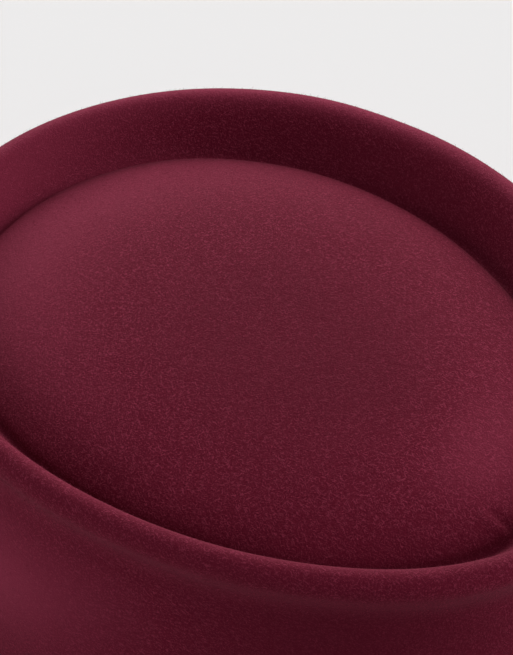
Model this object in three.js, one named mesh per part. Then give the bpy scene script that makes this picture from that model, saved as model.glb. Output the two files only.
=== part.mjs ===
// A pillbox hat blocked from one piece of wool felt, in millimetres, +Z up.
// The origin is the middle of the bottom edge's plane. The wearer looks along -Y.
//
// The felt is one continuous wall. From the bottom edge it climbs the side, draws in to a neck, rolls over
// the rim, slopes down to a crease and rises again as a low dome. That path is one profile in a plane of
// "outset" (distance outwards from the middle of the rim's roll) and height. The profile is swept around an
// egg-shaped oval, and its copy set in by the felt's thickness makes the inside.

import * as THREE from "three";

// Driving dimensions
const FELT_THICKNESS = 2.6;
const RIM = {
  halfLength: 95,
  halfWidth: 76,
  frontTaper: 0.09, // share by which the front is narrower, and the back wider, than the middle
  height: 78, // of the roll's centre above the bottom edge
  rollRadius: 3.8,
  rollStart: -38, // degrees, where the roll leaves the neck on the outside
  rollEnd: 141, // degrees, where it runs straight on into the inner slope
};
const CREASE = {
  inset: 12.2, // inwards from the roll's centre
  drop: 9, // below the roll's centre
  radius: 1.2,
  backShift: 2.2, // the crease and dome sit a little off the rim's centre
  rightShift: 2.4, // to the wearer's right
};
const DOME = { rise: 13, fullness: 2.6, shoulder: 0.66 };

// The side wall from the bottom edge up to the neck. A row's drop is its share of the way down from the
// roll's centre to the bottom edge.
const SIDE_WALL = [
  { name: "bottom edge", drop: 1.0, outset: 8.0 },
  { name: "band", drop: 0.8, outset: 8.0 },
  { name: "swell", drop: 0.5, outset: 7.7 },
  { name: "upper swell", drop: 0.34, outset: 6.0 },
  { name: "flare", drop: 0.24, outset: 2.6 },
  { name: "lower neck", drop: 0.16, outset: -0.2 },
  { name: "neck", drop: 0.11, outset: -0.2 },
  { name: "under the roll", drop: 0.065, outset: 1.4 },
];

// Across the front the swell is drawn in, so the neck is longer there. Middle and reach are shares of the
// way down, and the draw is whole where the cosine of the angle from the front is past "whole".
const FRONT_DRAW = { depth: 5.2, middle: 0.36, reach: 0.13, whole: 0.36 };

// Mesh fineness
const AROUND = 72;
const ROLL_STEPS = 6;
const CREASE_STEPS = 3;
const DOME_STEPS = 9;

const radians = THREE.MathUtils.degToRad;

// Mean of the crease oval's half-axes: the dome's outsets run over this distance from crease to centre.
const CREASE_MEAN_RADIUS = (RIM.halfLength + RIM.halfWidth) / 2 - CREASE.inset;

function arc(centre, radius, startDegrees, endDegrees, steps) {
  const points = [];
  for (let i = 0; i <= steps; i += 1) {
    const angle = radians(startDegrees + ((endDegrees - startDegrees) * i) / steps);
    points.push(new THREE.Vector2(centre.x + radius * Math.cos(angle), centre.y + radius * Math.sin(angle)));
  }
  return points;
}

// The crease is a small trough: it turns the inner slope's descent into the dome's steep shoulder.
function creaseTrough() {
  const floor = RIM.height - CREASE.drop;
  const centre = new THREE.Vector2(-CREASE.inset, floor + CREASE.radius);
  return arc(centre, CREASE.radius, RIM.rollEnd - 180, -150, CREASE_STEPS);
}

// Height of the dome above the crease at a share of the way out from its centre, from 0 to 1.
function domeHeight(share) {
  return DOME.rise * (1 - share ** DOME.fullness) ** DOME.shoulder;
}

function domeProfile() {
  const points = [];
  for (let i = 1; i <= DOME_STEPS; i += 1) {
    const share = Math.cos((i / DOME_STEPS) * (Math.PI / 2)) * (1 - CREASE.radius / CREASE_MEAN_RADIUS);
    const outset = -CREASE.inset - (1 - share) * CREASE_MEAN_RADIUS;
    points.push(new THREE.Vector2(outset, RIM.height - CREASE.drop + domeHeight(share)));
  }
  return points;
}

// The outer skin's profile, from the bottom edge to the middle of the dome.
function outerProfile() {
  const wall = SIDE_WALL.map(({ drop, outset }) => new THREE.Vector2(outset, RIM.height * (1 - drop)));
  const rollCentre = new THREE.Vector2(0, RIM.height);
  const roll = arc(rollCentre, RIM.rollRadius, RIM.rollStart, RIM.rollEnd, ROLL_STEPS);
  return [...wall, ...roll, ...creaseTrough(), ...domeProfile()];
}

// The same profile moved along its normals into the felt, by the felt's thickness.
function innerProfile(profile) {
  const last = profile.length - 1;
  return profile.map((point, i) => {
    const along = profile[Math.min(i + 1, last)].clone().sub(profile[Math.max(i - 1, 0)]).normalize();
    if (i === 0 || i === last) {
      along.set(i === 0 ? 0 : -1, i === 0 ? 1 : 0); // upright at the bottom edge, level at the dome's middle
    }
    return new THREE.Vector2(point.x - along.y * FELT_THICKNESS, point.y + along.x * FELT_THICKNESS);
  });
}

// Where an outset lies in plan, at an angle from the front. The oval grows and shrinks evenly as far as
// the crease, and inside the crease it shrinks in proportion to the dome's centre.
function planPoint(angle, outset) {
  const ringOutset = Math.max(outset, -CREASE.inset);
  const domeShare = Math.max(1 + Math.min(outset + CREASE.inset, 0) / CREASE_MEAN_RADIUS, 0);
  const shiftShare = Math.min(Math.max(-outset / CREASE.inset, 0), 1);
  const halfLength = (RIM.halfLength + ringOutset) * domeShare;
  const halfWidth = (RIM.halfWidth + ringOutset) * domeShare;
  const taper = 1 - RIM.frontTaper * Math.cos(angle);
  return new THREE.Vector2(
    halfWidth * Math.sin(angle) * taper - CREASE.rightShift * shiftShare,
    -halfLength * Math.cos(angle) + CREASE.backShift * shiftShare,
  );
}

// How far the wall is drawn in at an angle from the front and a height.
function drawnIn(angle, height) {
  const across = THREE.MathUtils.smoothstep(Math.cos(angle), 0, FRONT_DRAW.whole);
  const down = (1 - height / RIM.height - FRONT_DRAW.middle) / FRONT_DRAW.reach;
  return FRONT_DRAW.depth * across * Math.exp(-0.5 * down ** 2);
}

function ring(point) {
  const vertices = [];
  for (let i = 0; i < AROUND; i += 1) {
    const angle = (i / AROUND) * 2 * Math.PI;
    const outset = point.x > -CREASE.inset / 2 ? point.x - drawnIn(angle, point.y) : point.x;
    const plan = planPoint(angle, outset);
    vertices.push(plan.x, plan.y, point.y);
  }
  return vertices;
}

// Sweeps a profile that closes at a pole on each end: outer dome, down the outside, up the inside, inner dome.
function sweptShell(profile) {
  const poles = [profile[0], profile[profile.length - 1]];
  const rings = profile.slice(1, -1);
  const position = rings.flatMap(ring);
  for (const pole of poles) {
    const plan = planPoint(0, pole.x);
    position.push(plan.x, plan.y, pole.y);
  }
  const startPole = rings.length * AROUND;
  const endPole = startPole + 1;
  const index = [];
  for (let i = 0; i < AROUND; i += 1) {
    const next = (i + 1) % AROUND;
    index.push(startPole, i, next);
    for (let row = 0; row < rings.length - 1; row += 1) {
      const upper = row * AROUND;
      const lower = upper + AROUND;
      index.push(upper + i, lower + i, lower + next, upper + i, lower + next, upper + next);
    }
    const lastRow = (rings.length - 1) * AROUND;
    index.push(endPole, lastRow + next, lastRow + i);
  }
  const geometry = new THREE.BufferGeometry();
  geometry.setAttribute("position", new THREE.Float32BufferAttribute(position, 3));
  geometry.setIndex(index);
  geometry.computeVertexNormals();
  return geometry;
}

function feltShell() {
  const outer = outerProfile();
  const inner = innerProfile(outer);
  const felt = new THREE.MeshStandardMaterial({ color: 0x641428, roughness: 0.95, metalness: 0 });
  const mesh = new THREE.Mesh(sweptShell([...outer.reverse(), ...inner]), felt);
  mesh.name = "felt_shell";
  return mesh;
}

const hat = new THREE.Group();
hat.add(feltShell());

export default hat;
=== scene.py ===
"""A pillbox hat blocked from one piece of burgundy wool felt.

The felt is one closed surface: a profile of outset and height swept round an egg-shaped oval. Short wool
fibres stand on its outside as the nap. Lengths are metres, +Z is up, and the wearer looks along -Y.
"""

import math

import bpy
import numpy as np
from bpy.props import FloatProperty, FloatVectorProperty, IntProperty, PointerProperty
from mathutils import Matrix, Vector


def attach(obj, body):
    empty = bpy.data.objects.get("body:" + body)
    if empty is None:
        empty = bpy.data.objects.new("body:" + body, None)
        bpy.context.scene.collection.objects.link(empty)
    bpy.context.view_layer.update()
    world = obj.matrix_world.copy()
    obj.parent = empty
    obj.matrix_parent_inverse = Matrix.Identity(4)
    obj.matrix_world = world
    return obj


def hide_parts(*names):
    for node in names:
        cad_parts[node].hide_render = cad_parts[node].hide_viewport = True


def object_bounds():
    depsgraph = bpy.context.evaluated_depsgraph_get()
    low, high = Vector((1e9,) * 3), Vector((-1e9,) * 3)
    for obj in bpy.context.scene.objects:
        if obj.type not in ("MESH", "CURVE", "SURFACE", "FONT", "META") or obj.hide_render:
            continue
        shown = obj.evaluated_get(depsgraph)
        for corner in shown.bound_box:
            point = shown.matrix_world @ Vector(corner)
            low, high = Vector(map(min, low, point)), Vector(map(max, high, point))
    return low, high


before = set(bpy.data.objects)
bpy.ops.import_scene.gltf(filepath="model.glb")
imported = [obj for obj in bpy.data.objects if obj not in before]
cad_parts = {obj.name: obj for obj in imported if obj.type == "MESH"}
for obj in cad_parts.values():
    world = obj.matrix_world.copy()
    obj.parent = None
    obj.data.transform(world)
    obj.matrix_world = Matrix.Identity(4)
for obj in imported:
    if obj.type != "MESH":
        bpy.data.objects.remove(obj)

bl_info = {
    "name": "Felt Pillbox Hat",
    "version": (1, 0, 0),
    "blender": (4, 5, 0),
    "location": "3D View > Sidebar > Hat",
    "description": "Builds a blocked wool felt pillbox hat with its nap, and a plain studio to see it in",
    "category": "Add Mesh",
}

MM = 0.001
NODE = "felt_shell"
cad_low, cad_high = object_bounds()

# The side wall from the bottom edge up to the roll. A row holds its share of the way down from the roll's
# centre to the bottom edge, and how far it stands out from the roll's centre.
SIDE_WALL = (
    {"name": "bottom edge", "drop": 1.0, "outset": 8.0 * MM},
    {"name": "band", "drop": 0.80, "outset": 8.0 * MM},
    {"name": "swell", "drop": 0.50, "outset": 7.7 * MM},
    {"name": "upper swell", "drop": 0.34, "outset": 6.0 * MM},
    {"name": "flare", "drop": 0.24, "outset": 2.6 * MM},
    {"name": "lower neck", "drop": 0.16, "outset": -0.2 * MM},
    {"name": "neck", "drop": 0.11, "outset": -0.2 * MM},
    {"name": "under the roll", "drop": 0.065, "outset": 1.4 * MM},
)
EDGE_OUTSET = SIDE_WALL[0]["outset"]

# Slow waves that hand blocking leaves in the felt: how many waves go round the hat, how many along the
# profile, where they start, and how high they are.
BLOCKING_WAVES = (
    {"round": 2, "along": 0.9, "start": 0.4, "height": 0.30 * MM},
    {"round": 3, "along": 2.3, "start": 2.1, "height": 0.20 * MM},
    {"round": 5, "along": 3.1, "start": 4.0, "height": 0.12 * MM},
    {"round": 8, "along": 5.3, "start": 1.3, "height": 0.06 * MM},
    {"round": 13, "along": 8.7, "start": 5.2, "height": 0.03 * MM},
)

# Small marks of handling. Angles are degrees round from the front, outsets as in the profile. A positive
# rise stands out of the felt. A mark is "wide" round the hat and "long" across the profile, and leans by
# "lean" metres round for each metre across.
MARKS = (
    {"name": "pinch at the crease", "angle": 1.2, "outset": -15.0 * MM, "height": 71.5 * MM, "wide": 0.9 * MM,
     "long": 2.6 * MM, "rise": -0.9 * MM, "lean": 0.35},
    {"name": "fold beside the pinch", "angle": -1.4, "outset": -15.6 * MM, "height": 72.0 * MM, "wide": 1.6 * MM,
     "long": 2.6 * MM, "rise": 0.45 * MM, "lean": 0.35},
    {"name": "wrinkle on the inner slope", "angle": 111.5, "outset": -8.0 * MM, "height": 74.0 * MM, "wide": 1.3 * MM,
     "long": 3.0 * MM, "rise": 0.35 * MM, "lean": -1.4},
    {"name": "flat on the rim", "angle": 114.8, "outset": 0.6 * MM, "height": 81.8 * MM, "wide": 9.0 * MM,
     "long": 4.0 * MM, "rise": -0.35 * MM, "lean": 0.0},
    {"name": "thumb dent in the back", "angle": 203.0, "outset": 4.6 * MM, "height": 48.0 * MM, "wide": 16.0 * MM,
     "long": 9.0 * MM, "rise": -0.8 * MM, "lean": 0.2},
)

# Patches of painted light and shade: a positive share paints a highlight that makes the felt look lighter,
# and a negative share paints shade that makes it look darker, where the lamps light the swell and the dome or leave
# the neck in shade.
PAINTED_LIGHT_AND_SHADE_PATCHES = (
    {"name": "swell on the right", "angle": 268.0, "outset": 6.4 * MM, "height": 50.0 * MM, "wide": 28.0 * MM,
     "long": 12.0 * MM, "painted_light_and_shade": 1.4, "lean": -0.6},
    {"name": "neck across the front", "angle": 318.0, "outset": 0.0 * MM, "height": 58.0 * MM, "wide": 52.0 * MM,
     "long": 15.0 * MM, "painted_light_and_shade": -0.75, "lean": -0.6},
    {"name": "inner slope at the back", "angle": 190.0, "outset": -5.0 * MM, "height": 77.5 * MM, "wide": 26.0 * MM,
     "long": 4.5 * MM, "painted_light_and_shade": 0.5, "lean": 0.0},
    {"name": "middle of the dome", "angle": 350.0, "outset": -62.0 * MM, "height": 81.5 * MM, "wide": 40.0 * MM,
     "long": 26.0 * MM, "painted_light_and_shade": -0.7, "lean": 0.0},
    {"name": "front of the dome", "angle": 12.0, "outset": -27.0 * MM, "height": 79.0 * MM, "wide": 20.0 * MM,
     "long": 11.0 * MM, "painted_light_and_shade": 0.9, "lean": 0.0},
    {"name": "back of the dome", "angle": 190.0, "outset": -22.0 * MM, "height": 76.0 * MM, "wide": 46.0 * MM,
     "long": 13.0 * MM, "painted_light_and_shade": 1.0, "lean": 0.0},
    {"name": "inner slope on the left", "angle": 118.0, "outset": -8.0 * MM, "height": 75.0 * MM, "wide": 50.0 * MM,
     "long": 4.0 * MM, "painted_light_and_shade": -0.5, "lean": 0.0},
    {"name": "rim on the left", "angle": 130.0, "outset": 1.0 * MM, "height": 81.6 * MM, "wide": 60.0 * MM,
     "long": 2.6 * MM, "painted_light_and_shade": 1.3, "lean": 0.0},
)


def widest(taper):
    """How much wider than twice its half-width a tapered oval is: the most of sin(a) (1 - taper cos(a))."""
    angle = np.linspace(0, math.pi, 2001)
    return float(np.max(np.sin(angle) * (1 - taper * np.cos(angle))))


FRONT_TAPER = 0.09
# Across the front the swell is drawn in, so the neck is longer there. Middle and reach are shares of the way
# down, and the draw is whole where the cosine of the angle from the front is past "whole".
FRONT_DRAW = {"depth": 5.2 * MM, "middle": 0.36, "reach": 0.13, "whole": 0.36}
ROLL_RADIUS = 3.8 * MM
ROLL_START = -38  # degrees, where the roll leaves the neck
INNER_SLOPE = 141  # degrees, where the roll runs straight on down the inner slope
CREASE_TO_RIGHT = 2.4 * MM
CREASE_TO_BACK = 2.2 * MM
EDGE_ROUND = 0.5 * MM
DOME_FULLNESS = 2.6
DOME_SHOULDER = 0.66
SOFTENING = 0.7 * MM  # how far the profile's corners are rounded off

# Fineness of the felt's grid
ROWS = 122
AROUND = 360


class HatShape(bpy.types.PropertyGroup):
    """Sizes of the blocked felt. Those of the rim come from the frame."""

    half_length: FloatProperty(
        name="Rim half length", description="From the hat's middle to the middle of the roll, front to back",
        default=(cad_high.y - cad_low.y) / 2 - EDGE_OUTSET, unit="LENGTH")
    half_width: FloatProperty(
        name="Rim half width", description="From the hat's middle to the middle of the roll, side to side",
        default=(cad_high.x - cad_low.x) / 2 / widest(FRONT_TAPER) - EDGE_OUTSET, unit="LENGTH")
    rim_height: FloatProperty(
        name="Rim height", description="Height of the roll's centre above the bottom edge",
        default=cad_high.z - ROLL_RADIUS - cad_low.z, unit="LENGTH")
    taper: FloatProperty(
        name="Front taper", description="Share by which the front is narrower than the middle",
        default=FRONT_TAPER, subtype="FACTOR")
    thickness: FloatProperty(
        name="Felt thickness", description="Thickness of the felt wall", default=2.6 * MM, unit="LENGTH")
    roll_radius: FloatProperty(
        name="Roll radius", description="Outer radius of the rolled rim", default=ROLL_RADIUS, unit="LENGTH")
    crease_inset: FloatProperty(
        name="Crease inset", description="From the roll's centre inwards to the crease",
        default=12.2 * MM, unit="LENGTH")
    crease_drop: FloatProperty(
        name="Crease drop", description="From the roll's centre down to the crease",
        default=9 * MM, unit="LENGTH")
    crease_radius: FloatProperty(
        name="Crease radius", description="Radius of the trough at the bottom of the crease",
        default=1.2 * MM, unit="LENGTH")
    dome_rise: FloatProperty(
        name="Dome rise", description="From the crease up to the middle of the dome",
        default=13 * MM, unit="LENGTH")


class FeltLook(bpy.types.PropertyGroup):
    """Colours and surface of the felt."""

    deep: FloatVectorProperty(
        name="Deep colour", description="Wool colour between the fibres", subtype="COLOR",
        default=(0.080, 0.0030, 0.0125), min=0, max=1)
    body: FloatVectorProperty(
        name="Body colour", description="Wool colour of the pressed surface", subtype="COLOR",
        default=(0.132, 0.0068, 0.0220), min=0, max=1)
    tip: FloatVectorProperty(
        name="Tip colour", description="Colour of fibre tips that catch light", subtype="COLOR",
        default=(0.265, 0.032, 0.068), min=0, max=1)
    sheen: FloatProperty(
        name="Sheen", description="Strength of the soft light that the nap gathers at a slant",
        default=0.08, subtype="FACTOR")
    grain: FloatProperty(
        name="Grain size", description="Width of the finest clumps of wool", default=0.42 * MM, unit="LENGTH")


class NapLook(bpy.types.PropertyGroup):
    """The raised fibres."""

    length: FloatProperty(
        name="Fibre length", description="Length of a raised fibre", default=1.0 * MM, unit="LENGTH")
    width: FloatProperty(
        name="Fibre width", description="Width of a raised fibre at its root", default=0.06 * MM, unit="LENGTH")
    count: IntProperty(
        name="Fibres on each piece", description="How many fibres stand on each stretch of the felt",
        default=48000)


class StageLook(bpy.types.PropertyGroup):
    """The studio around the hat."""

    floor: FloatVectorProperty(
        name="Floor colour", description="Colour of the seamless floor", subtype="COLOR",
        default=(0.82, 0.81, 0.81), min=0, max=1)
    distance: FloatProperty(
        name="Camera distance", description="From the rim's centre to the camera", default=0.8, unit="LENGTH")
    azimuth: FloatProperty(
        name="Camera azimuth", description="Angle of the camera round the hat from its front",
        default=math.radians(-42.16), subtype="ANGLE")
    elevation: FloatProperty(
        name="Camera elevation", description="Angle of the camera above the horizon",
        default=math.radians(40.94), subtype="ANGLE")
    lens: FloatProperty(
        name="Focal length", description="Focal length in millimetres on a sensor 36 mm wide", default=185.7)


# Shape ------------------------------------------------------------------------------------------------

def arc(centre, radius, start, end, steps):
    """Points centre + radius (cos a, sin a) as the angle a runs from start to end, in degrees."""
    angle = np.radians(np.linspace(start, end, steps))
    return np.asarray(centre) + radius * np.stack([np.cos(angle), np.sin(angle)], axis=-1)


def through(points, steps):
    """A Catmull-Rom curve: between rows, each row's slope is half the way between its neighbours."""
    padded = np.concatenate([2 * points[:1] - points[1:2], points, 2 * points[-1:] - points[-2:-1]])
    before, here, there, after = padded[:-3, None], padded[1:-2, None], padded[2:-1, None], padded[3:, None]
    t = np.linspace(0, 1, steps, endpoint=False)[None, :, None]
    curve = 0.5 * (2 * here + (there - before) * t + (2 * before - 5 * here + 4 * there - after) * t**2
                   + (3 * here - 3 * there + after - before) * t**3)
    return np.concatenate([curve.reshape(-1, points.shape[1]), points[-1:]])


def arc_length(points):
    """Distance along a polyline at each of its points."""
    return np.concatenate([[0], np.cumsum(np.linalg.norm(np.diff(points, axis=0), axis=1))])


def resampled(points, places):
    """The polyline's points at these distances along it."""
    along = arc_length(points)
    return np.stack([np.interp(places, along, column) for column in points.T], axis=-1)


def softened(points, reach):
    """The polyline averaged with a bell of this reach along it. It is mirrored in its ends to hold them."""
    step = 0.1 * MM
    length = arc_length(points)[-1]
    even = resampled(points, np.linspace(0, length, int(length / step)))
    pad = int(4 * reach / step)
    padded = np.concatenate([2 * even[0] - even[pad:0:-1], even, 2 * even[-1] - even[-2:-pad - 2:-1]])
    offset = np.arange(-pad, pad + 1) * step
    bell = np.exp(-0.5 * (offset / reach) ** 2)
    return np.stack([np.convolve(column, bell / bell.sum(), mode="valid") for column in padded.T], axis=-1)


def normals_of(profile):
    """Unit normals of a profile that climbs the outside and runs in over the top: they point out of the felt."""
    tangent = np.gradient(profile, axis=0)
    tangent /= np.linalg.norm(tangent, axis=1, keepdims=True)
    return np.stack([tangent[:, 1], -tangent[:, 0]], axis=-1)


def closely_spaced(profile, rows):
    """Rows along the profile, closer where it bends: their spacing falls with the curvature."""
    turning = np.linalg.norm(np.gradient(normals_of(profile), axis=0), axis=1)
    step = np.linalg.norm(np.gradient(profile, axis=0), axis=1)
    weight = 1 + 9 * MM * turning / step
    along = np.cumsum(weight * step)
    places = np.interp(np.linspace(along[0], along[-1], rows), along, arc_length(profile))
    return resampled(profile, places)


def mean_crease_radius(shape):
    return (shape.half_length + shape.half_width) / 2 - shape.crease_inset


def dome_height(shape, share):
    """Height above the crease at a share of the way out: rise (1 - share^fullness)^shoulder."""
    return shape.dome_rise * (1 - share**DOME_FULLNESS) ** DOME_SHOULDER


def felt_profile(shape, rows):
    """Outset and height up the side from just above the bottom edge, over the roll and the crease, to the dome's
    middle."""
    wall = np.array([(row["outset"], shape.rim_height * (1 - row["drop"])) for row in SIDE_WALL])
    roll = arc((0, shape.rim_height), shape.roll_radius, ROLL_START, INNER_SLOPE, 60)
    floor = shape.rim_height - shape.crease_drop
    trough = arc((-shape.crease_inset, floor + shape.crease_radius), shape.crease_radius,
                 INNER_SLOPE - 180, -150, 30)
    radius = mean_crease_radius(shape)
    share = np.cos(np.linspace(0, math.pi / 2, 200)[1:]) * (1 - shape.crease_radius / radius)
    dome = np.stack([-shape.crease_inset - (1 - share) * radius, floor + dome_height(shape, share)], axis=-1)
    side = through(wall, 24)
    side = side[side[:, 1] > EDGE_ROUND]
    side = np.concatenate([[(wall[0, 0], EDGE_ROUND)], side])
    return closely_spaced(softened(np.concatenate([side, roll, trough, dome]), SOFTENING), rows)


def edge_profile(shape):
    """The cut edge, from the outside to the inside: a quarter round, a flat at the bottom and a quarter round."""
    outside, inside = EDGE_OUTSET - EDGE_ROUND, EDGE_OUTSET - shape.thickness + EDGE_ROUND
    return np.concatenate([arc((outside, EDGE_ROUND), EDGE_ROUND, 0, -90, 5)[1:],
                           arc((inside, EDGE_ROUND), EDGE_ROUND, -90, -180, 5)[:-1]])


def smooth_step(share):
    share = np.clip(share, 0, 1)
    return share**2 * (3 - 2 * share)


def swept(shape, angle, outset, height):
    """Sweeps outsets and heights round the hat, at angles a from the front.

    With L and W the rim's half length and width grown by the outset, x = W sin(a) (1 - taper cos(a)) and
    y = -L cos(a). Inside the crease the whole oval shrinks towards its centre, which sits a little back and
    to the wearer's right of the rim's. Outside it, with d the share of the way down the side, the outset
    loses depth smooth(cos(a) / whole) exp(-((d - middle) / reach)^2 / 2).
    """
    down = (1 - height / shape.rim_height - FRONT_DRAW["middle"]) / FRONT_DRAW["reach"]
    draw = FRONT_DRAW["depth"] * smooth_step(np.cos(angle) / FRONT_DRAW["whole"]) * np.exp(-0.5 * down**2)
    outset = outset - np.where(outset > -shape.crease_inset / 2, draw, 0)
    ring = np.maximum(outset, -shape.crease_inset)
    dome = np.maximum(1 + np.minimum(outset + shape.crease_inset, 0) / mean_crease_radius(shape), 0)
    shift = np.clip(-outset / shape.crease_inset, 0, 1)
    x = (shape.half_width + ring) * dome * np.sin(angle) * (1 - shape.taper * np.cos(angle))
    y = -(shape.half_length + ring) * dome * np.cos(angle)
    return np.stack([x - CREASE_TO_RIGHT * shift, y + CREASE_TO_BACK * shift, height + 0 * x], axis=-1)


def bell(shape, angle, profile, mark):
    """A mark's bell: exp(-((around / wide)^2 + (across / long)^2) / 2), in distances round the hat and across
    the profile."""
    outset, height = profile[:, :1], profile[:, 1:]
    share = np.maximum(1 + (outset + shape.crease_inset) / mean_crease_radius(shape), 0.1)
    across = np.hypot(outset - mark["outset"], height - mark["height"])
    across = np.copysign(across, outset - mark["outset"])
    turn = np.angle(np.exp(1j * (angle - math.radians(mark["angle"]))))
    around = turn * mean_crease_radius(shape) * share - mark["lean"] * across
    return np.exp(-0.5 * (around / mark["wide"]) ** 2 - 0.5 * (across / mark["long"]) ** 2)


def blocking(shape, angle, profile):
    """How far waves and marks lift the felt at each place.

    A wave is h sin(n a + s) cos(m u + s) with a the angle and u the distance along the profile from 0 to
    2 pi. Waves fade out at the bottom edge and the dome's middle.
    """
    outset, height = profile[:, :1], profile[:, 1:]
    along = arc_length(profile)[:, None] / arc_length(profile)[-1] * 2 * math.pi
    share = 1 + (outset + shape.crease_inset) / mean_crease_radius(shape)
    lift = sum(w["height"] * np.sin(w["round"] * angle + w["start"]) * np.cos(w["along"] * along + w["start"])
               for w in BLOCKING_WAVES)
    lift = lift * smooth_step(height / (15 * MM)) * smooth_step(share) ** 2
    return lift + sum(mark["rise"] * bell(shape, angle, profile, mark) for mark in MARKS)


def felt_skins(shape):
    """The outer skin, the cut edge and the inner skin, each a grid of points, and the profile behind them.

    The skins are the profile moved along its normals: by the blocking's lift, and on the inside back by the
    felt's thickness too. Both run from the bottom edge to the dome's middle.
    """
    profile = felt_profile(shape, ROWS)
    normal = normals_of(profile)
    normal[0], normal[-1] = (1, 0), (0, 1)
    angle = np.linspace(0, 2 * math.pi, AROUND, endpoint=False)[None, :]
    lift = blocking(shape, angle, profile)

    def skin(depth):
        moved = profile[:, None, :] + (lift - depth)[..., None] * normal[:, None, :]
        return swept(shape, angle, moved[..., 0], moved[..., 1])

    edge = edge_profile(shape)
    return profile, skin(0), swept(shape, angle, edge[:, :1], edge[:, 1:]), skin(shape.thickness)


# Meshes -----------------------------------------------------------------------------------------------

def closed_tube(grid):
    """Vertices and faces of a grid that is round in its columns and ends in a point in its first and last rows."""
    rows, around = grid.shape[0] - 2, grid.shape[1]
    vertices = np.concatenate([grid[1:-1].reshape(-1, 3), grid[0, :1], grid[-1, :1]])
    here = np.arange(rows * around).reshape(rows, around)
    beside = np.roll(here, -1, axis=1)
    quads = np.stack([here[:-1], here[1:], beside[1:], beside[:-1]], axis=-1).reshape(-1, 4)
    first, last = rows * around, rows * around + 1
    caps = np.concatenate([
        np.stack([np.full(around, first), here[0], beside[0]], axis=-1),
        np.stack([np.full(around, last), beside[-1], here[-1]], axis=-1)])
    return vertices, quads, caps


def new_mesh(name, vertices, *face_arrays, smooth=True):
    """An object at the origin whose mesh has these vertices and arrays of faces."""
    mesh = bpy.data.meshes.new(name)
    counts = np.concatenate([np.full(len(faces), faces.shape[1]) for faces in face_arrays])
    mesh.vertices.add(len(vertices))
    mesh.vertices.foreach_set("co", vertices.astype(np.float32).ravel())
    mesh.loops.add(int(counts.sum()))
    mesh.loops.foreach_set("vertex_index", np.concatenate([faces.ravel() for faces in face_arrays]))
    mesh.polygons.add(len(counts))
    mesh.polygons.foreach_set("loop_start", np.concatenate([[0], np.cumsum(counts)[:-1]]))
    mesh.polygons.foreach_set("use_smooth", np.full(len(counts), smooth))
    mesh.update(calc_edges=True)
    if mesh.validate():
        raise RuntimeError(f"{name} has faulty faces")
    piece = bpy.data.objects.new(name, mesh)
    bpy.context.scene.collection.objects.link(piece)
    return piece


def store(piece, name, outside, edge_rows):
    """Stores a number at each point of the felt. The cut edge takes the first row's, and the inside half."""
    whole = np.concatenate([outside[::-1], np.repeat(outside[:1], edge_rows, axis=0), 0.5 * outside])
    values = np.concatenate([whole[1:-1].ravel(), whole[[0, -1], 0]])
    piece.data.attributes.new(name, "FLOAT", "POINT").data.foreach_set("value", values)


def unit(vectors):
    return vectors / np.maximum(np.linalg.norm(vectors, axis=-1, keepdims=True), 1e-12)


def fibres(skin, look, seed):
    """Short fibres over a stretch of the outer skin, each a three-sided spike, as vertices and faces.

    A root is a random place in a random cell of the skin's grid, chosen by area. With n the skin's normal, c
    the way the nap is combed round the hat and r a random direction, a fibre points along
    lift n + 0.5 c + 0.9 r, so most lie low and a few stand up.
    """
    rng = np.random.default_rng(seed)
    closed = np.concatenate([skin, skin[:, :1]], axis=1)
    corner, up, across = closed[:-1, :-1], closed[1:, :-1], closed[:-1, 1:]
    normal = np.cross(across - corner, up - corner)
    area = np.linalg.norm(normal, axis=-1).ravel()
    cell = rng.choice(area.size, size=look.count, p=area / area.sum())
    row, column = np.unravel_index(cell, normal.shape[:2])
    s, t = rng.random((2, look.count, 1))
    root = ((1 - s) * (1 - t) * corner[row, column] + s * (1 - t) * up[row, column]
            + (1 - s) * t * across[row, column] + s * t * closed[row + 1, column + 1])
    out = unit(normal[row, column])
    comb = unit((across - corner)[row, column])
    stray = rng.normal(size=(look.count, 3))
    lift = 0.12 + 0.9 * rng.random((look.count, 1)) ** 2.5
    way = unit(lift * out + 0.5 * comb + 0.9 * unit(stray - (stray * out).sum(-1, keepdims=True) * out))
    length = look.length * rng.uniform(0.45, 1.25, (look.count, 1))
    side = unit(np.cross(way, out))
    other = np.cross(way, side)
    base = root - 0.12 * MM * out
    turn = np.radians([90, 210, 330])
    ring = [base + 0.5 * look.width * (math.cos(a) * side + math.sin(a) * other) for a in turn]
    tip = base + length * way
    vertices = np.stack([*ring, tip], axis=1).reshape(-1, 3)
    spike = np.array([[0, 1, 3], [1, 2, 3], [2, 0, 3], [0, 2, 1]])
    faces = (4 * np.arange(look.count)[:, None, None] + spike).reshape(-1, 3)
    return vertices, faces, rng.choice(3, size=look.count, p=(0.60, 0.32, 0.08))


# Materials --------------------------------------------------------------------------------------------

class Sock:
    """A shader socket that arithmetic can be written with: each expression adds its Math nodes."""

    def __init__(self, tree, socket):
        self.tree, self.socket = tree, socket

    def _math(self, operation, first, second=0.0, **settings):
        return self.tree.node("ShaderNodeMath", {"operation": operation, **settings}, {0: first, 1: second})

    def __add__(self, other):
        return self._math("ADD", self, other)

    __radd__ = __add__

    def __mul__(self, other):
        return self._math("MULTIPLY", self, other)

    __rmul__ = __mul__

    def __sub__(self, other):
        return self._math("SUBTRACT", self, other)

    def __rsub__(self, other):
        return self._math("SUBTRACT", other, self)

    def __pow__(self, other):
        return self._math("POWER", self, other)

    def clamped(self):
        return self._math("ADD", self, 0.0, use_clamp=True)


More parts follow.
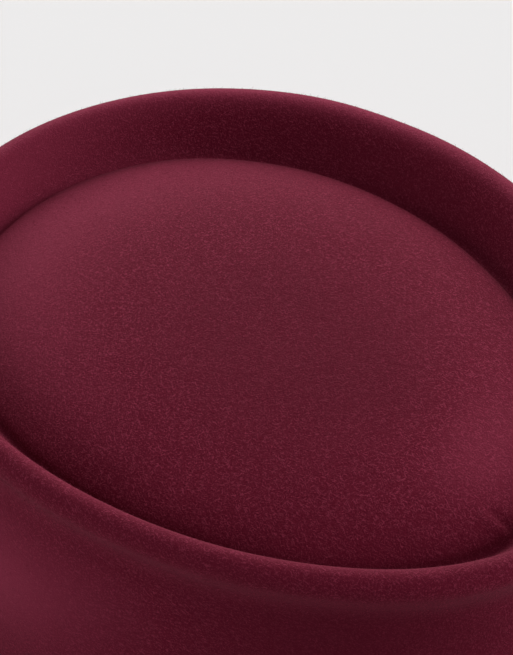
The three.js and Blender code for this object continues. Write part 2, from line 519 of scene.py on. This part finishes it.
class Tree:
    """A new material's nodes."""

    def __init__(self, name):
        self.material = bpy.data.materials.new(name)
        self.material.use_nodes = True
        self.nodes, self.links = self.material.node_tree.nodes, self.material.node_tree.links
        self.nodes.clear()

    def node(self, kind, settings=None, values=None, output=0):
        """Adds a node, sets its settings, then fills its inputs with values or links. Returns one output."""
        node = self.nodes.new(kind)
        for name, value in (settings or {}).items():
            setattr(node, name, value)
        for name, value in (values or {}).items():
            if isinstance(value, Sock):
                self.links.new(value.socket, node.inputs[name])
            else:
                node.inputs[name].default_value = value
        return Sock(self, node.outputs[output])

    def place(self):
        """The place on the piece, in metres."""
        return self.node("ShaderNodeTexCoord", output="Object")

    def noise(self, size, vector, detail=2.0, roughness=0.5, distortion=0.0):
        """A cloudy number from 0 to 1 whose clouds are about this size."""
        return self.node("ShaderNodeTexNoise", {"noise_dimensions": "3D"}, {
            "Vector": vector, "Scale": 1 / size, "Detail": detail, "Roughness": roughness,
            "Distortion": distortion})

    def stretched(self, vector, turn, scale):
        """Turns the place about its axes, then scales it, so that a pattern on it runs in one direction."""
        return self.node("ShaderNodeMapping", {"vector_type": "TEXTURE"}, {
            "Vector": vector, "Rotation": turn, "Scale": scale})

    def ranged(self, value, low, high, to_low=0.0, to_high=1.0):
        """The value's span from low to high moved to another span, and held in it."""
        return self.node("ShaderNodeMapRange", {"interpolation_type": "SMOOTHSTEP"}, {
            "Value": value, "From Min": low, "From Max": high, "To Min": to_low, "To Max": to_high})

    def mixed(self, factor, first, second):
        """A colour between two colours."""
        return self.node("ShaderNodeMix", {"data_type": "RGBA"}, {0: factor, 6: first, 7: second}, output=2)

    def attribute(self, name):
        """A number stored at each point of the mesh."""
        return self.node("ShaderNodeAttribute", {"attribute_name": name}, output="Fac")

    def finish(self, surface):
        output = self.nodes.new("ShaderNodeOutputMaterial")
        self.links.new(surface.socket, output.inputs["Surface"])
        return self.material


def rgba(colour):
    return (*colour, 1.0)


def felt_material(look):
    """Brushed wool felt: clouds of tone, clumps of wool at two sizes, and short bright fibres in three ways, with
    painted highlights and shade in patches and painted shade in the crease.
    """
    tree = Tree("wool_felt")
    place = tree.place()
    clouds = tree.noise(34 * MM, place, detail=2)
    patches = tree.noise(7 * MM, place, detail=3, roughness=0.6)
    clumps = tree.noise(1.1 * MM, place, detail=2, roughness=0.6)
    grain = tree.noise(look.grain, place, detail=1.5, roughness=0.7)
    strands = [
        tree.noise(0.30 * MM, tree.stretched(place, turn, (1, 4.5, 1)), detail=1, distortion=0.6)
        for turn in ((0.3, 0.2, 0.5), (0.1, -0.3, 1.6), (-0.3, 0.4, 2.7))]
    flecks = [tree.ranged(strand, 0.58, 0.74) for strand in strands]
    bright = (flecks[0] + flecks[1] + flecks[2]).clamped()
    tone = (0.30 * clouds + 0.30 * patches + 0.55 * clumps + 0.95 * grain - 0.55).clamped()
    crease = tree.attribute("crease")
    rub = tree.attribute("rub")
    colour = tree.mixed(tone, rgba(look.deep), rgba(look.body))
    colour = tree.mixed((0.62 * bright + 0.10 * rub).clamped(), colour, rgba(look.tip))
    # Painted light and shade: positive patch shares mix in the tip colour as painted highlights, negative ones the
    # deep colour as painted shade.
    painted_light_and_shade = tree.attribute("painted_light_and_shade")
    colour = tree.mixed((0.5 * painted_light_and_shade).clamped(), colour, rgba(look.tip))
    # The crease's share adds painted shade in the crease's trough.
    colour = tree.mixed((-0.8 * painted_light_and_shade + 0.35 * crease).clamped(), colour, rgba(look.deep))
    relief = 0.9 * grain + 0.5 * clumps + 0.35 * bright
    bump = tree.node("ShaderNodeBump", values={"Strength": 0.9, "Distance": 0.25 * MM, "Height": relief})
    felt = tree.node("ShaderNodeBsdfPrincipled", values={
        "Base Color": colour,
        "Roughness": tree.ranged(grain, 0.3, 0.7, 0.98, 0.82),
        "Normal": bump,
        "Specular IOR Level": 0.06,
        "Sheen Weight": look.sheen,
        "Sheen Roughness": 0.42,
        "Sheen Tint": (1.0, 0.30, 0.42, 1.0)})
    return tree.finish(felt)


def fibre_material(name, colour):
    """One tint of wool fibre."""
    tree = Tree(name)
    fibre = tree.node("ShaderNodeBsdfPrincipled", values={
        "Base Color": rgba(colour), "Roughness": 0.85, "Specular IOR Level": 0.1})
    return tree.finish(fibre)


# Operators --------------------------------------------------------------------------------------------

class HAT_OT_felt_shell(bpy.types.Operator):
    """Build the blocked felt, inside and out, as one closed wall"""

    bl_idname = "hat.felt_shell"
    bl_label = "Felt shell"

    def execute(self, context):
        shape, look = context.scene.hat_shape, context.scene.hat_felt
        profile, outer, edge, inner = felt_skins(shape)
        grid = np.concatenate([outer[::-1], edge, inner])
        piece = new_mesh("felt", *closed_tube(grid))
        roll = np.exp(-0.5 * (np.hypot(profile[:, 0], profile[:, 1] - shape.rim_height - shape.roll_radius)
                              / (3 * MM)) ** 2)
        low = np.exp(-profile[:, 1] / (2.5 * MM))
        # Painted shade in the crease: a bell round the trough's centre, which darkens the felt's colour there.
        crease = np.exp(-0.5 * (np.hypot(profile[:, 0] + shape.crease_inset,
                                         profile[:, 1] - shape.rim_height + shape.crease_drop) / (2 * MM)) ** 2)
        angle = np.linspace(0, 2 * math.pi, AROUND, endpoint=False)[None, :]
        # Painted light and shade: the patches' bells summed into a share at each point of the felt.
        painted_light_and_shade = sum(mark["painted_light_and_shade"] * bell(shape, angle, profile, mark) for mark in PAINTED_LIGHT_AND_SHADE_PATCHES)
        rub = np.maximum(roll, low)
        for name, rows in (("rub", rub[:, None]), ("crease", crease[:, None]), ("painted_light_and_shade", painted_light_and_shade)):
            store(piece, name, np.broadcast_to(rows, (ROWS, AROUND)), len(edge))
        piece.data.materials.append(felt_material(look))
        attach(piece, "root")
        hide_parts(NODE)
        return {"FINISHED"}


class HAT_OT_nap(bpy.types.Operator):
    """Raise short wool fibres on the outside of the felt"""

    bl_idname = "hat.nap"
    bl_label = "Nap"

    def execute(self, context):
        shape, look, nap = context.scene.hat_shape, context.scene.hat_felt, context.scene.hat_nap
        profile, outer, _, _ = felt_skins(shape)
        neck = np.argmax(profile[:, 1] > shape.rim_height * 0.86)
        crease = np.argmax(profile[:, 0] < -shape.crease_inset)
        low = np.argmax(profile[:, 1] > 2 * MM)
        stretches = {"nap_side": outer[low:neck + 1], "nap_rim": outer[neck:crease + 1], "nap_dome": outer[crease:]}
        tints = (look.body, look.tip, tuple(min(1, 1.5 * c) for c in look.tip))
        wool = [fibre_material(f"wool_fibre_{i}", tint) for i, tint in enumerate(tints)]
        for seed, (name, skin) in enumerate(stretches.items()):
            vertices, faces, tint = fibres(skin, nap, seed)
            piece = new_mesh(name, vertices, faces, smooth=False)
            for material in wool:
                piece.data.materials.append(material)
            piece.data.polygons.foreach_set("material_index", np.repeat(tint, 4).astype(np.int32))
            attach(piece, "root")
        return {"FINISHED"}


def far_light(name, toward, softness, strength):
    """A light far away in this direction. Its softness is the angle it fills in the sky, in degrees."""
    data = bpy.data.lights.new(name, "SUN")
    data.energy, data.angle = strength, math.radians(softness)
    lamp = bpy.data.objects.new(name, data)
    lamp.location = toward
    lamp.rotation_mode = "QUATERNION"
    lamp.rotation_quaternion = (-toward).to_track_quat("-Z", "Y")
    bpy.context.scene.collection.objects.link(lamp)


def direction(azimuth, elevation):
    """Unit vector from the hat towards something at these angles: azimuth 0 is the front, 90 the wearer's left."""
    return Vector((math.sin(azimuth) * math.cos(elevation), -math.cos(azimuth) * math.cos(elevation),
                   math.sin(elevation)))


# Lights stand round the hat at angles measured from the camera: positive is to the camera's right.
LAMPS = (
    {"name": "back", "round": 180, "up": 22, "softness": 34, "strength": 3.0},
    {"name": "right", "round": 90, "up": 25, "softness": 34, "strength": 2.1},
    {"name": "low left", "round": -95, "up": 9, "softness": 24, "strength": 0.95},
    {"name": "high left", "round": -90, "up": 60, "softness": 40, "strength": 0.30},
)


FLOOR_HALF_SIDE = 15.0
SKY_STRENGTH = 0.25

# The camera aims a little to the left of the rim's centre and above it.
AIM_LEFT = 5.7 * MM
AIM_UP = 0.9 * MM


class HAT_OT_stage(bpy.types.Operator):
    """Set up the floor, the soft lights and the camera"""

    bl_idname = "hat.stage"
    bl_label = "Studio"

    def execute(self, context):
        scene, stage, shape = context.scene, context.scene.hat_stage, context.scene.hat_shape
        rim = Vector((0, 0, shape.rim_height))
        corners = np.array([(-1, -1, 0), (1, -1, 0), (1, 1, 0), (-1, 1, 0)]) * FLOOR_HALF_SIDE
        floor = new_mesh("floor", corners, np.array([[0, 1, 2, 3]]), smooth=False)
        tree = Tree("floor_paper")
        paper = tree.node("ShaderNodeBsdfPrincipled", values={
            "Base Color": rgba(stage.floor), "Roughness": 0.9, "Specular IOR Level": 0.1})
        floor.data.materials.append(tree.finish(paper))

        world = bpy.data.worlds.new("studio")
        world.use_nodes = True
        background = world.node_tree.nodes["Background"]
        background.inputs["Color"].default_value = (1.0, 1.0, 1.0, 1)
        background.inputs["Strength"].default_value = SKY_STRENGTH
        scene.world = world

        for lamp in LAMPS:
            toward = direction(stage.azimuth + math.radians(lamp["round"]), math.radians(lamp["up"]))
            far_light(lamp["name"], toward, lamp["softness"], lamp["strength"])

        back = direction(stage.azimuth, stage.elevation)
        right = Vector((math.cos(stage.azimuth), math.sin(stage.azimuth), 0))
        up = back.cross(right)
        camera_data = bpy.data.cameras.new("camera")
        camera_data.lens = stage.lens
        camera_data.sensor_width = 36
        camera = bpy.data.objects.new("camera", camera_data)
        camera.location = rim + back * stage.distance
        target = rim - right * AIM_LEFT + up * AIM_UP
        camera.rotation_mode = "QUATERNION"
        camera.rotation_quaternion = (target - camera.location).to_track_quat("-Z", "Y")
        scene.collection.objects.link(camera)
        scene.camera = camera
        scene.view_settings.view_transform = "Standard"
        return {"FINISHED"}


class HAT_PT_panel(bpy.types.Panel):
    """Lists the steps and their settings"""

    bl_idname = "HAT_PT_panel"
    bl_label = "Felt Pillbox Hat"
    bl_space_type = "VIEW_3D"
    bl_region_type = "UI"
    bl_category = "Hat"

    def draw(self, context):
        for group in GROUPS:
            box = self.layout.box()
            for prop in GROUPS[group].__annotations__:
                box.prop(getattr(context.scene, group), prop)
        for operator in OPERATORS:
            self.layout.operator(operator.bl_idname)


GROUPS = {"hat_shape": HatShape, "hat_felt": FeltLook, "hat_nap": NapLook, "hat_stage": StageLook}
OPERATORS = (HAT_OT_felt_shell, HAT_OT_nap, HAT_OT_stage)


def register():
    for group, kind in GROUPS.items():
        bpy.utils.register_class(kind)
        setattr(bpy.types.Scene, group, PointerProperty(type=kind))
    for kind in (*OPERATORS, HAT_PT_panel):
        bpy.utils.register_class(kind)


def unregister():
    for kind in (HAT_PT_panel, *reversed(OPERATORS)):
        bpy.utils.unregister_class(kind)
    for group, kind in reversed(GROUPS.items()):
        delattr(bpy.types.Scene, group)
        bpy.utils.unregister_class(kind)


def main():
    register()
    bpy.ops.hat.felt_shell()
    bpy.ops.hat.nap()
    bpy.ops.hat.stage()


if __name__ == "__main__":
    main()
